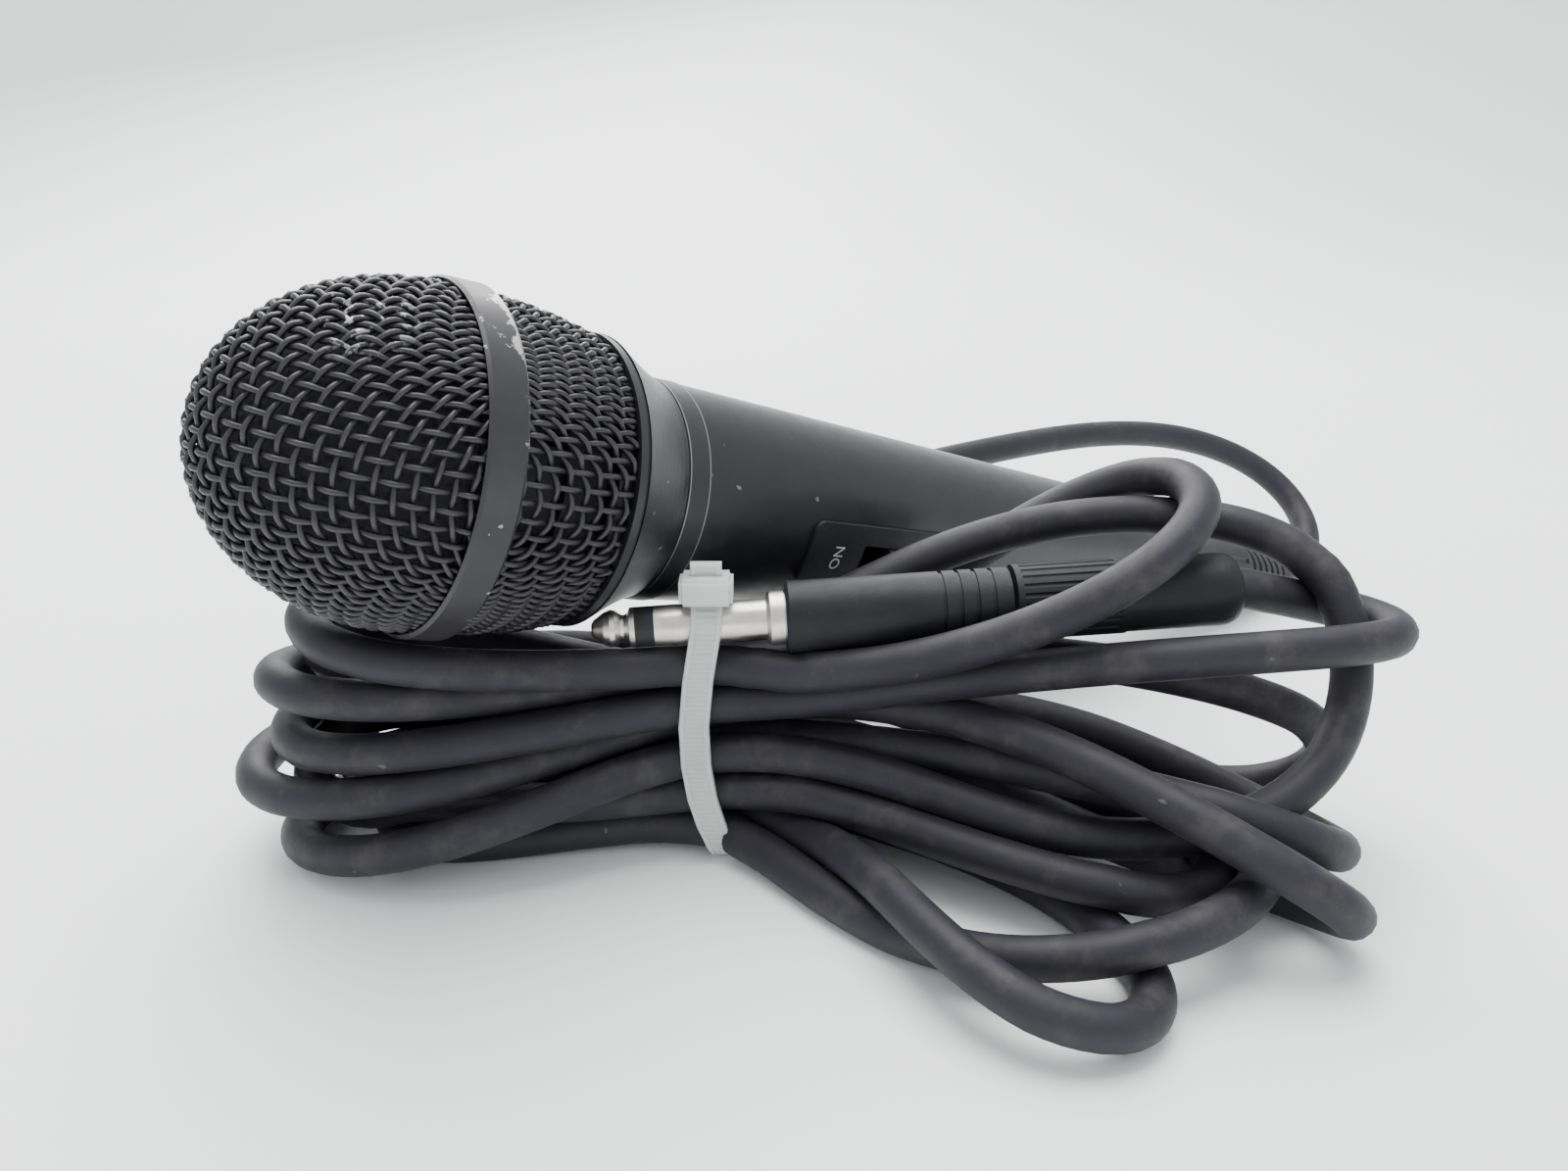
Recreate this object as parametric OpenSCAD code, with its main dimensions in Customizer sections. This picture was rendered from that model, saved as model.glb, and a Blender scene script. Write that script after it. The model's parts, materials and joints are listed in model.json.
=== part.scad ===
// Hand-held dynamic microphone that lies on a tied hank of its own cable.
// The microphone's tail rests on the surface and its ball rests on the hank.
// +X runs along the microphone from ball to tail, +Z is up. The origin is on the
// surface, below the middle of the microphone and its cable connector.

/* [Ball grille] */
// Outer radius of the ring round the ball
ball_r = 27; // [26.8:0.1:27.4]
// Width of the ring round the ball
band_w = 6; // [5:0.5:7]
// Outer radius of the woven halves where they enter the ring
weave_r = 26.4; // [26.2:0.1:26.5]
// Length of the front dome, from the ring's edge to its tip
dome_len = 31.6; // [30:0.2:34]
// Thickness of the woven wire
weave_t = 1.8; // [1.4:0.1:2]

/* [Handle] */
// Radius of the neck behind the flared mouth
neck_r = 18.4; // [18.2:0.1:18.8]
// Radius of the handle's tail end
tail_r = 13.2; // [13:0.1:13.6]
// Distance from the middle of the ring to the tail end
tail_s = 155; // [153:0.5:157]
// Wall of the handle tube
wall = 2; // [1.6:0.1:2.2]

/* [Switch] */
// Width of the switch plate
plate_w = 12; // [11:0.5:13]
// Length of the switch plate
plate_len = 33; // [33:0.5:34]
// Height of the plate above the handle
plate_proud = 0.7; // [0.5:0.1:1]
// Travel of the slider
slider_travel = 5.6; // [5:0.1:5.8]
// Angle of the switch round the handle, from straight down
switch_angle = -76; // [-82:1:-66]

/* [Cable connector] */
// Outer radius of the connector's shell
conn_r = 9.5; // [9.3:0.1:9.8]
// Distance from the middle of the ring to the end of the rubber boot
boot_s = 222; // [220:1:226]
// Radius of the boot where the cable leaves it
boot_end_r = 5; // [4.8:0.1:5.4]

/* [Jack plug] */
// Radius of the plug's metal sleeve, a quarter-inch plug
sleeve_r = 3.175; // [3.15:0.005:3.2]
// Length from the tip to the shoulder
plug_len = 30; // [29.8:0.1:30.4]
// Radius of the black barrel
barrel_r = 5.7; // [5.5:0.1:5.9]

/* [Cord] */
// Outer radius of the cable
cord_r = 3.25; // [3:0.05:3.5]
// Height of the hank below the ball
hank_h = 45; // [44:0.5:46]
// Width of the tie's strap
tie_w = 4.8; // [4.6:0.1:5]
// Thickness of the tie's strap
tie_t = 1.2; // [1:0.1:1.4]

/* [Pose] */
// Slope of the microphone, ball up
incline = 16.4; // [16.2:0.1:16.6]
// Angle between the microphone and the hank, seen from above
hank_turn = 34.6; // [34:0.2:35]

/* [Hidden] */

$fn = 96;
gap = 0.05;

// Places along the microphone's axis, from the middle of the ring towards the tail
rim_s = band_w / 2 - 1.2;
collar_s = 23.7;
mouth_s = 24.2;
shoulder_s = 28.4;
neck_s = 34.3;
label_w = 4.3;
taper_s = neck_s + label_w;
insert_s = 139;
taper = (neck_r - 0.1 - tail_r) / (tail_s - taper_s);

// The microphone's place: the boot's lower edge touches the surface, and the origin is
// halfway between the tip of the dome and the back of the boot
dome_reach = sqrt(pow(dome_len * cos(incline), 2) + pow(weave_r * sin(incline), 2));
front_x = -band_w / 2 * cos(incline) - dome_reach;
back_x = boot_s * cos(incline) + boot_end_r * sin(incline);
ring_x = -(front_x + back_x) / 2;
ring_z = boot_s * sin(incline) + boot_end_r * cos(incline);

// Thread and capsule radii
thread_r = 19.2;
capsule_r = 15.8;
magnet_s = -1.5;

// Tail socket: standard three-pin pattern
pin_r = 1.2;
pin_circle_r = 4;
pin_angles = [90, 210, 330];
nose_r = 7.95;
well_r = 8.15;

// Jack plug: distances from its tip
tip_len = 6.8;
ring_len = 3;
flange_len = 2.8;
barrel_len = 35.1;
grip_w0 = 66;
grip_w1 = 83.5;
jack_end = 101.8;
// Tip and rear end of the plug in the hank's own frame: along, away, up
jack_tip_at = [23, -1.2, 40.5];
jack_end_at = [125, 5.5, 45];

// Hank: middle of each lobe and its radius, in the hank's own frame
left_lobe = [-12, 8, 22];
waist = [41, 10.5, 14.5];
low_lobe_near = [101, -27, 27];
low_lobe_far = [110, -10, 27];
high_lobe = [126, 8, 26];
hank_mid_h = 38;
low_h = 22;
tie_u = 41;

// Hand-chosen route of the cable behind the microphone, from the middle of the ring:
// along the microphone, away from the hank's front, up
tail_route = [
    [222.5, 0.4, 3.6], [232, 1.6, 4.4], [242, 5.6, 8], [247, 13, 14.5], [245, 22.5, 21],
    [236.5, 31, 27], [223, 36.5, 31], [206, 40, 34], [186, 40.5, 36.5], [164.5, 39.5, 38],
    [144, 38, 38.5], [122, 36, 38.5], [98, 33, 38.5], [74.5, 29, 38.5], [53, 24, 38.5],
    [36.5, 21, 38], [24.5, 19, 37.5], [11, 22, 38]
];
// Hand-chosen route from the jack plug down into the hank, in the hank's own frame
lead_route = [
    [131.5, 6.8, 45], [135.7, 10.6, 44.5], [139.4, 14.3, 43.8], [144.4, 15.8, 42.5], [149.6, 14.4, 41],
    [153.3, 10.6, 39.5], [154.6, 5.4, 38.3], [153, 0.4, 37.6], [149.4, -3.2, 37.4], [143, -4.8, 37.8],
    [135, -4.5, 38.5], [122, -5, 39.5], [107, -6, 38.9], [92, -6, 36.8], [77, -5, 34.4], [60, -3, 31],
    [50, 0, 29]
];

// ---------------------------------------------------------------- helpers

// Puts a piece drawn round +Z (ball at the low end) on the sloping microphone axis
module place_mic() {
    translate([ring_x, 0, ring_z])
        rotate([0, 90 + incline, 0])
            children();
}

// A point on the microphone's axis
function axis_point(s) = [ring_x + s * cos(incline), 0, ring_z - s * sin(incline)];

// The hank's frame: u along the hank, v away from its front, z up
function hank_point(p) = [
    ring_x + p[0] * cos(hank_turn) + p[1] * sin(hank_turn),
    -p[0] * sin(hank_turn) + p[1] * cos(hank_turn),
    p[2]
];
module place_hank() {
    translate([ring_x, 0, 0])
        rotate([0, 0, -hank_turn])
            children();
}

jack_dir = jack_end_at - jack_tip_at;
jack_plan = norm([jack_dir[0], jack_dir[1]]);

// Puts a piece drawn round +Z (tip at z = 0) on the jack plug's axis
module place_jack() {
    place_hank()
        translate(jack_tip_at)
            rotate([0, 90 - atan2(jack_dir[2], jack_plan), atan2(jack_dir[1], jack_dir[0])])
                children();
}
function jack_point(w) = hank_point(jack_tip_at + jack_dir / norm(jack_dir) * w);

module tube(r_in, r_out, z0, z1) {
    difference() {
        translate([0, 0, z0]) cylinder(r = r_out, h = z1 - z0);
        translate([0, 0, z0 - 1]) cylinder(r = r_in, h = z1 - z0 + 2);
    }
}
module disc(r, z0, z1) {
    translate([0, 0, z0]) cylinder(r = r, h = z1 - z0);
}

// Rectangle with true round corners
module round_rect(length, width, r) {
    square([length - 2 * r, width], center = true);
    square([length, width - 2 * r], center = true);
    for (x = [-1, 1], y = [-1, 1])
        translate([x * (length / 2 - r), y * (width / 2 - r)]) circle(r);
}
// Prism that stands out along +X, length along the axis
module prism(length, width, r, x0, x1, mid) {
    translate([x0, 0, mid])
        rotate([0, 90, 0])
            linear_extrude(x1 - x0)
                round_rect(length, width, r);
}
// Block that stands out along +X
module block(x0, x1, width, z0, z1) {
    translate([x0, -width / 2, z0]) cube([x1 - x0, width, z1 - z0]);
}
// Rod that stands out along +X
module rod(r, x0, x1, y, z) {
    translate([x0, y, z]) rotate([0, 90, 0]) cylinder(r = r, h = x1 - x0);
}

// Smooth curve through a list of points
function curve_at(a, b, c, d, t) =
    0.5 * (2 * b + (c - a) * t + (2 * a - 5 * b + 4 * c - d) * t * t
        + (3 * b - a - 3 * c + d) * t * t * t);
function smooth(p, steps) = [
    for (i = [0 : len(p) - 2], k = [0 : steps - 1])
        curve_at(p[max(i - 1, 0)], p[i], p[i + 1], p[min(i + 2, len(p) - 1)], k / steps),
    p[len(p) - 1]
];
function unit(v) = v / norm(v);
function heading(p, i) = unit(p[min(i + 1, len(p) - 1)] - p[max(i - 1, 0)]);
// The frame of each ring is carried along the route, so that the tube doesn't twist
function carried(p, i, side) = i >= len(p) ? [] :
    let (h = heading(p, i), s = unit(side - (side * h) * h))
        concat([[s, cross(h, s)]], carried(p, i + 1, s));
module sweep(p, r, sides) {
    frames = carried(p, 0, [0.3, 0.2, 1]);
    n = len(p);
    rings = [for (i = [0 : n - 1], k = [0 : sides - 1])
        let (a = 360 * k / sides) p[i] + r * (cos(a) * frames[i][0] + sin(a) * frames[i][1])];
    sides_f = [for (i = [0 : n - 2], k = [0 : sides - 1])
        let (j = (k + 1) % sides)
            [i * sides + k, (i + 1) * sides + k, (i + 1) * sides + j, i * sides + j]];
    first = [[for (k = [0 : sides - 1]) k]];
    last = [[for (k = [sides - 1 : -1 : 0]) (n - 1) * sides + k]];
    polyhedron(points = rings, faces = concat(first, sides_f, last), convexity = 8);
}

// ---------------------------------------------------------------- ball grille

// Half section of the dome: an ellipse and a short straight rim
function dome_arc(long, round, n) = [
    for (i = [0 : n]) let (a = 90 * i / n) [round * sin(a), -band_w / 2 - long * cos(a)]
];
module dome_shell(long, round, thick, end_s) {
    outer = dome_arc(long, round, 20);
    inner = dome_arc(long - thick, round - thick, 20);
    rotate_extrude()
        polygon(concat(
            outer, [[round, end_s], [round - thick, end_s]],
            [for (i = [20 : -1 : 0]) inner[i]]
        ));
}
module grille_front() {
    color([0.09, 0.09, 0.1])
        place_mic()
            dome_shell(dome_len, weave_r, weave_t, -rim_s - gap);
}

// Radius of the rear half: it draws in towards the collar
function rear_r(s) = weave_r - 2.95 * pow((s - 1.8) / (22.4 - 1.8), 1.8);
module grille_rear() {
    s_list = [for (i = [0 : 12]) rim_s + gap + (22.4 - rim_s) * i / 12];
    color([0.09, 0.09, 0.1])
        place_mic()
            rotate_extrude()
                polygon(concat(
                    [for (s = s_list) [rear_r(s), s]],
                    [for (i = [12 : -1 : 0]) [rear_r(s_list[i]) - weave_t, s_list[i]]]
                ));
}

module grille_band() {
    groove_in = weave_r - weave_t - gap;
    groove_out = weave_r + gap;
    half = band_w / 2;
    color([0.16, 0.16, 0.17])
        place_mic()
            rotate_extrude()
                polygon([
                    [groove_in - 0.7, -half], [groove_in, -half], [groove_in, -rim_s],
                    [groove_out, -rim_s], [groove_out, -half], [ball_r - 0.4, -half],
                    [ball_r, -half + 0.5], [ball_r, half - 0.5], [ball_r - 0.4, half],
                    [groove_out, half], [groove_out, rim_s], [groove_in, rim_s],
                    [groove_in, half], [groove_in - 0.7, half]
                ]);
}

module grille_collar() {
    color([0.35, 0.35, 0.37])
        place_mic()
            rotate_extrude()
                polygon([
                    [17.9, 20.5], [21.2, 20.5], [21.2, 22.5], [23.55, 22.5], [23.55, collar_s],
                    [thread_r, collar_s], [thread_r, shoulder_s - 0.3],
                    [17.9, shoulder_s - 0.3]
                ]);
}

module foam_liner() {
    outer_r = weave_r - weave_t - 0.9;
    color([0.12, 0.12, 0.12])
        place_mic()
            dome_shell(dome_len - weave_t - 0.6, outer_r, 3, 2);
}

module gasket_ring() {
    color([0.03, 0.03, 0.03])
        place_mic()
            tube(thread_r + 0.25, 23.3, collar_s + gap, mouth_s - gap);
}

// ---------------------------------------------------------------- capsule

module capsule_cap() {
    face_s = -12;
    color([0.2, 0.2, 0.2])
        place_mic()
            difference() {
                disc(capsule_r, face_s, -7);
                disc(14.2, face_s + 1.2, -6);
                disc(1.6, face_s - 1, face_s + 2);
                for (a = [0 : 60 : 300])
                    rotate([0, 0, a]) translate([6.5, 0, face_s - 1]) cylinder(r = 1.6, h = 3);
                for (a = [0 : 30 : 330])
                    rotate([0, 0, a + 15]) translate([11, 0, face_s - 1]) cylinder(r = 1.6, h = 3);
            }
}

// Dome of thin film; its rim carries the coil
module diaphragm() {
    rim_r = 9.55;
    film = 0.15;
    base = -6.9;
    rise = 3;
    steps = 10;
    ball = (8.5 * 8.5 + rise * rise) / (2 * rise);
    reach = asin(8.5 / ball);
    function cap(r) = [for (i = [0 : steps]) let (a = reach * i / steps)
        [r * sin(a), base + ball - rise - r * cos(a)]];
    inner = cap(ball - film);
    color([0.8, 0.8, 0.7])
        place_mic()
            rotate_extrude()
                polygon(concat(
                    cap(ball), [[rim_r, base], [rim_r, base + film], [8.6, base + film]],
                    [for (i = [steps - 1 : -1 : 0]) inner[i]]
                ));
}
module surround() {
    color([0.75, 0.75, 0.65])
        place_mic()
            tube(9.63, 14.05, -6.9, -6.75);
}
module voice_coil() {
    color([0.72, 0.4, 0.2])
        place_mic()
            tube(8.65, 9.4, -6.75, -1.2);
}
module top_plate() {
    color([0.7, 0.7, 0.72])
        place_mic()
            tube(9.9, 14.05, -4.5, magnet_s);
}
module pole_piece() {
    color([0.7, 0.7, 0.72])
        place_mic()
            disc(8.2, -4.5, magnet_s);
}
module magnet() {
    color([0.5, 0.5, 0.53])
        place_mic()
            disc(8, magnet_s, 4.5);
}
module yoke() {
    color([0.7, 0.7, 0.72])
        place_mic() {
            disc(14.05, 4.5, 7.5);
            tube(12.4, 14.05, magnet_s, 4.5);
        }
}
module damping_felt() {
    color([0.6, 0.55, 0.45])
        place_mic()
            disc(13, 7.5, 8.5);
}
module capsule_housing() {
    color([0.15, 0.15, 0.16])
        place_mic()
            difference() {
                rotate_extrude()
                    polygon([
                        [capsule_r, -7], [capsule_r, 22], [3, 22], [3, 20.5], [14.1, 20.5],
                        [14.1, -4.5], [13, -4.5], [13, -6.75], [14.1, -6.75], [14.1, -7]
                    ]);
                for (a = [0 : 60 : 300])
                    rotate([0, 0, a]) rod(1.4, 13, 17, 0, 12);
            }
}
module terminal_board() {
    color([0.5, 0.35, 0.15])
        place_mic() {
            disc(6, 22, 23.2);
            for (y = [-2, 2])
                translate([0, y, 23.2]) cylinder(r = 0.8, h = 1);
        }
}
module shock_mount() {
    color([0.05, 0.05, 0.05])
        place_mic()
            rotate_extrude()
                polygon([
                    [capsule_r + gap, 14], [17.4, 14], [17.4, shoulder_s], [14, shoulder_s],
                    [14, 22 + gap], [capsule_r + gap, 22 + gap]
                ]);
}

// A point in the switch's own directions: out, across, along
function switch_point(out, across, s) = [
    out * cos(switch_angle) - across * sin(switch_angle),
    out * sin(switch_angle) + across * cos(switch_angle),
    s
];
module capsule_leads() {
    color([0.7, 0.1, 0.1])
        place_mic()
            for (y = [-1, 1])
                sweep(smooth([
                    [0, 2 * y, 24.2], [0.5, 2.4 * y, 30], switch_point(3, 2.5 * y, 39),
                    switch_point(5, 3 * y, 47.5), switch_point(8.5, 2 * y, 56.5),
                    switch_point(9, 1.5 * y, body_ends[0])
                ], 2), 0.55, 8);
}

// ---------------------------------------------------------------- handle

function handle_r(s) = neck_r - 0.1 - (s - taper_s) * taper;
// The mouth draws in to the neck in a hollow curve
function flare_r(s) =
    neck_r + (23.6 - neck_r) * pow(max(neck_s - s, 0) / (neck_s - mouth_s), 1.25);
module switch_spin() {
    rotate([0, 0, switch_angle])
        children();
}
plate_mid = 77.5;
// Ends of the switch's bracket along the handle
body_ends = [plate_mid - 15.5, plate_mid + 17.5];
module handle_shell() {
    color([0.1, 0.1, 0.11])
        place_mic()
            difference() {
                rotate_extrude()
                    polygon(concat(
                        [[thread_r + gap, mouth_s]],
                        [for (i = [0 : 10]) let (s = mouth_s + (neck_s - mouth_s) * i / 10)
                            [flare_r(s), s]],
                        [[neck_r - 0.4, neck_s], [neck_r - 0.4, taper_s], [handle_r(taper_s), taper_s],
                         [handle_r(tail_s - 0.6), tail_s - 0.6], [tail_r - 0.5, tail_s],
                         [11.2, tail_s], [11.2, insert_s], [handle_r(insert_s) - wall, insert_s],
                         [handle_r(taper_s) - wall, taper_s], [16, shoulder_s],
                         [thread_r + gap, shoulder_s]]
                    ));
                switch_spin()
                    prism(plate_len + 0.2, plate_w + 0.2, 2.1, 9, 20, plate_mid);
                rotate([0, 0, switch_angle + 180])
                    rod(1.25, 9, 16, 0, 147);
            }
}
module label_band() {
    color([0.13, 0.13, 0.14])
        place_mic()
            tube(neck_r - 0.4, neck_r + 0.05, neck_s + 0.1, taper_s - 0.1);
}

// ---------------------------------------------------------------- switch

window_len = 11.4;
window_mid = 78.5;
slider_len = 5.4;
slider_mid = window_mid + window_len / 2 - 0.2 - slider_len / 2;
post_s = [plate_mid - 12.8, plate_mid + 14.8];
module switch_plate() {
    color([0.2, 0.2, 0.21])
        place_mic()
            switch_spin()
                difference() {
                    union() {
                        intersection() {
                            prism(plate_len, plate_w, 2, 9, 20, plate_mid);
                            rotate_extrude()
                                polygon([
                                    [handle_r(55) + plate_proud, 55],
                                    [handle_r(100) + plate_proud, 100],
                                    [handle_r(100) - wall, 100], [handle_r(55) - wall, 55]
                                ]);
                        }
                        for (s = post_s)
                            rod(1.5, 11.8, handle_r(s) - wall + 0.5, 0, s);
                    }
                    prism(window_len, 5.4, 0.6, 8, 21, window_mid);
                    for (s = post_s)
                        rod(0.8, 11, 15, 0, s);
                }
}
module switch_slider() {
    top = handle_r(slider_mid) + plate_proud + 0.7;
    color([0.05, 0.05, 0.05])
        place_mic()
            switch_spin()
                difference() {
                    union() {
                        prism(slider_len, 5, 0.5, 13, top, slider_mid);
                        block(12.5, 13.2, 6, slider_mid - 8, slider_mid + 7.5);
                        block(10.9, 12.6, 2, slider_mid - 1.5, slider_mid + 1.5);
                    }
                    for (k = [-1.5 : 1 : 1.5])
                        block(top - 0.35, top + 1, 6, slider_mid + k * 1.2 - 0.3, slider_mid + k * 1.2 + 0.3);
                }
}
module switch_body() {
    color([0.75, 0.75, 0.75])
        place_mic()
            switch_spin()
                difference() {
                    union() {
                        block(5.8, 11.8, 8, plate_mid - 11, plate_mid + 13);
                        block(10.6, 11.8, 5, body_ends[0], body_ends[1]);
                    }
                    block(10.5, 12, 2.2, slider_mid - slider_travel - 1.9, slider_mid + 1.9);
                    for (s = post_s)
                        rod(0.85, 10, 12, 0, s);
                }
}
module switch_screws() {
    color([0.8, 0.8, 0.82])
        place_mic()
            switch_spin()
                for (s = post_s) {
                    rod(0.78, 10.5, 14.6, 0, s);
                    rod(1.5, 9.6, 10.6, 0, s);
                }
}
module switch_leads() {
    color([0.1, 0.1, 0.5])
        place_mic()
            for (k = [1, 2])
                let (y = k == 1 ? 1 : -1, a = pin_angles[k])
                    sweep(smooth([
                        switch_point(8.5, -2 * y, plate_mid + 13.1), switch_point(8, -2.2 * y, plate_mid + 18.5),
                        switch_point(4, -3 * y, 109),
                        [pin_circle_r * cos(a), pin_circle_r * sin(a), 124],
                        [pin_circle_r * cos(a), pin_circle_r * sin(a), 131]
                    ], 2), 0.55, 8);
}

// ---------------------------------------------------------------- tail socket

module at_pins() {
    for (a = pin_angles)
        rotate([0, 0, a])
            translate([pin_circle_r, 0, 0])
                children();
}
module xlr_insert() {
    color([0.08, 0.08, 0.08])
        place_mic()
            difference() {
                disc(11.15, insert_s + gap, tail_s - 0.6);
                disc(well_r, 141.8, tail_s + 1);
                at_pins() disc(pin_r + 0.02, 130, 143);
                rotate([0, 0, switch_angle + 180])
                    rod(1.25, 9.2, 16, 0, 147);
            }
}
module xlr_pins() {
    color([0.8, 0.8, 0.78])
        place_mic()
            at_pins() {
                disc(pin_r, 131, 151.4);
                translate([0, 0, 151.4]) cylinder(r1 = pin_r, r2 = 0.7, h = 0.6);
            }
}
module insert_screw() {
    color([0.6, 0.6, 0.6])
        place_mic()
            rotate([0, 0, switch_angle + 180])
                rod(1.2, 9.3, 13.2, 0, 147);
}

// ---------------------------------------------------------------- cable connector

latch_s = 163;
module connector_shell() {
    color([0.12, 0.12, 0.13])
        place_mic()
            difference() {
                rotate_extrude()
                    polygon([
                        [7.45, 142.2], [nose_r, 142.2], [nose_r, tail_s + 0.2],
                        [conn_r - 0.4, tail_s + 0.2], [conn_r, tail_s + 0.7], [conn_r, 186],
                        [8, 186], [8, 158], [7.45, 158]
                    ]);
                rotate([0, 0, 180])
                    prism(10.4, 6.6, 1, 6.5, 12, latch_s);
            }
}
module connector_insert() {
    color([0.1, 0.1, 0.1])
        place_mic()
            difference() {
                disc(7.4, 142.6, 157.9);
                at_pins() disc(1.9, 142, 159);
            }
}
module connector_sockets() {
    color([0.85, 0.7, 0.3])
        place_mic()
            at_pins() {
                tube(pin_r + gap, 1.85, 143, 154);
                disc(1.85, 154, 160);
            }
}
module latch_button() {
    color([0.5, 0.5, 0.52])
        place_mic()
            intersection() {
                rotate([0, 0, 180])
                    prism(9.8, 6, 0.8, 8.5, 12, latch_s);
                disc(10.6, 150, 175);
            }
}
module cable_chuck() {
    color([0.15, 0.15, 0.15])
        place_mic()
            difference() {
                tube(cord_r + gap, 7.9, 172, 185);
                for (a = [0 : 120 : 240])
                    rotate([0, 0, a + 60]) block(2, 9, 1, 171, 181);
            }
}
module clamp_nut() {
    color([0.08, 0.08, 0.08])
        place_mic()
            difference() {
                rotate_extrude()
                    polygon([
                        [4.2, 186], [8.7, 186], [8.9, 187], [8.9, 199], [8.2, 200], [4.2, 200]
                    ]);
                for (a = [0 : 30 : 330])
                    rotate([0, 0, a]) translate([9.5, 0, 187.5]) cylinder(r = 0.9, h = 11, $fn = 24);
            }
}
module connector_boot() {
    // Ribs and slots let the boot bend
    ribs = 6;
    pitch = 3;
    slot = 1.2;
    first = 203;
    function boot_r(s) = 7.6 - (7.6 - boot_end_r) * (s - 200) / (boot_s - 200);
    steps = [for (k = [0 : ribs - 1], c = [0 : 3])
        let (s = first + k * pitch + (c > 1 ? slot : 0), r = boot_r(s) - (c == 1 || c == 2 ? 1 : 0))
            [r, s]];
    color([0.06, 0.06, 0.06])
        place_mic()
            rotate_extrude()
                polygon(concat(
                    [[cord_r + gap, 200], [boot_r(200), 200]], steps,
                    [[boot_end_r, boot_s], [cord_r + gap, boot_s]]
                ));
}

// ---------------------------------------------------------------- cord

function from_ring(p) = [ring_x + p[0], p[1], p[2]];
tail_path = smooth(concat(
    [axis_point(boot_s - 12), axis_point(boot_s)],
    [for (p = tail_route) from_ring(p)]
), 1);
lead_path = smooth(concat(
    [jack_point(jack_end - 6), jack_point(jack_end)],
    [for (p = lead_route) hank_point(p)]
), 2);
module cord_tail() {
    color([0.14, 0.14, 0.16])
        sweep(tail_path, cord_r, 10);
}
module cord_lead() {
    color([0.14, 0.14, 0.16])
        sweep(lead_path, cord_r, 10);
}

module lobe(c, grow) {
    translate([c[0], c[1]]) circle(c[2] + grow, $fn = 32);
}
module stretch(a, b) {
    hull() {
        lobe(a, 0);
        lobe(b, 0);
    }
}
// Inner outline of the tie, across the hank: away and up
module tie_outline(grow) {
    r = 6;
    foot = tie_t + gap;
    v0 = waist[1] - waist[2] + 1 + r;
    v1 = waist[1] + waist[2] - 1 - r;
    sleeve_w = (tie_u - jack_tip_at[0]) / jack_dir[0];
    hull() {
        for (v = [v0, v1])
            translate([v, foot + r]) circle(r + grow, $fn = 32);
        translate([v1, 25]) circle(r + grow, $fn = 32);
        translate([jack_tip_at[1] + sleeve_w * jack_dir[1], jack_tip_at[2] + sleeve_w * jack_dir[2]])
            circle(sleeve_r + 0.15 + grow, $fn = 32);
    }
}
// Turns a drawing across the hank into a slab of the given width at the tie
module across_hank(width) {
    translate([tie_u - width / 2, 0, 0])
        rotate([90, 0, 90])
            linear_extrude(width)
                children();
}
module cord_hank() {
    clear = 0.6;
    color([0.14, 0.14, 0.16])
        difference() {
            place_hank()
                difference() {
                    union() {
                        linear_extrude(hank_h) lobe(left_lobe, 0);
                        linear_extrude(hank_mid_h) stretch(left_lobe, waist);
                        linear_extrude(low_h) stretch(waist, low_lobe_near);
                        linear_extrude(low_h) stretch(waist, low_lobe_far);
                        translate([0, 0, 10])
                            linear_extrude(hank_mid_h - 12) stretch(waist, high_lobe);
                    }
                    across_hank(tie_w + 0.4)
                        difference() {
                            translate([-60, -10]) square([140, 80]);
                            tie_outline(-gap);
                        }
                }
            // Room for the ball on its way off, for the handle and for the plug
            place_mic() {
                disc(ball_r + clear, -40, 4);
                disc(26.4 + clear, 3, 24);
                disc(23.6 + clear, 23, 29);
                translate([0, 0, 28.9]) cylinder(r1 = 22, r2 = neck_r + clear, h = 10.2);
                translate([0, 0, 39]) cylinder(r1 = neck_r + clear, r2 = tail_r + clear, h = 116);
            }
            place_jack() {
                disc(sleeve_r + clear, -1, plug_len);
                disc(6.2 + clear, plug_len - 3, jack_end + 1);
            }
        }
}

// ---------------------------------------------------------------- jack plug

sleeve_w0 = tip_len + ring_len;
flange_w = plug_len - flange_len;
module jack_tip() {
    color([0.78, 0.77, 0.74])
        place_jack()
            rotate_extrude()
                polygon([
                    [0, 0], [0.9, 0], [1.5, 0.4], [2.6, 2], [2.95, 3], [2.8, 3.7], [2.1, 4.6],
                    [2, 5.1], [2.3, 5.6], [3.1, 6], [sleeve_r, tip_len], [0.9, tip_len],
                    [0.9, 38], [0, 38]
                ]);
}
module jack_insulator() {
    color([0.04, 0.04, 0.04])
        place_jack() {
            tube(0.9 + gap, sleeve_r - 0.02, tip_len, sleeve_w0);
            tube(0.9 + gap, 1.9, sleeve_w0, 36);
        }
}
module jack_sleeve() {
    color([0.78, 0.77, 0.74])
        place_jack()
            rotate_extrude()
                polygon([
                    [1.95, sleeve_w0], [sleeve_r, sleeve_w0], [sleeve_r, flange_w],
                    [3.9, flange_w + 0.2], [4.3, flange_w + 0.6], [4.3, plug_len], [1.95, plug_len]
                ]);
}
module jack_body() {
    color([0.7, 0.7, 0.7])
        place_jack()
            tube(1.95, 4, plug_len, plug_len + 8);
}
barrel_w1 = plug_len + 0.2 + barrel_len;
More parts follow.
